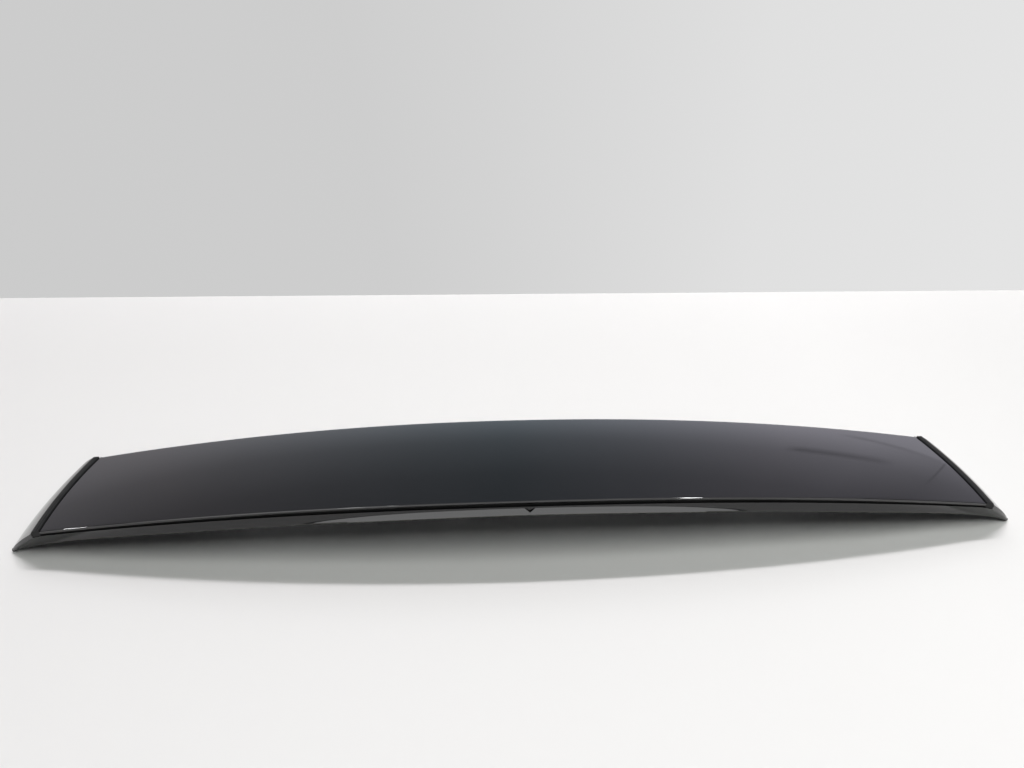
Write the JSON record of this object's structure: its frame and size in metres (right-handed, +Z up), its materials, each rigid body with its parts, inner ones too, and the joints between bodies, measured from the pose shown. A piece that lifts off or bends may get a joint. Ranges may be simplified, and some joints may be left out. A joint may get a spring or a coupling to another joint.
{
  "type": "trunk spoiler blade",
  "caption": "Arched boot-lid spoiler blade with a glossy panel, a black edge seal round its sides and rear, pointed tips and bolt plates for its lift arms underneath.",
  "frame": {"origin": "middle of the blade's footprint, on the surface that its tips and side feet rest on", "axes": "+X across the car from tip to tip, +Y towards the leading edge, +Z up"},
  "size_m": [1.2, 0.1973, 0.0905],
  "materials": {
    "paint": "dark grey metallic paint under clear coat, on moulded plastic",
    "rubber": "matte black moulded rubber",
    "plate": "zinc-plated pressed steel",
    "fastener": "zinc-plated turned steel"
  },
  "bodies": {
    "root": {"upper_shell": "paint", "lower_shell": "paint", "edge_seal": "rubber", "mounting_plate_left": "plate", "mounting_plate_right": "plate", "press_nut_left_outer": "fastener", "press_nut_left_inner": "fastener", "press_nut_right_inner": "fastener", "press_nut_right_outer": "fastener", "locating_pin_left": "fastener", "locating_pin_right": "fastener", "plate_screw_left_1": "fastener", "plate_screw_left_2": "fastener", "plate_screw_left_3": "fastener", "plate_screw_left_4": "fastener", "plate_screw_right_1": "fastener", "plate_screw_right_2": "fastener", "plate_screw_right_3": "fastener", "plate_screw_right_4": "fastener", "stop_buffer_left": "rubber", "stop_buffer_right": "rubber"}
  },
  "joints": []
}
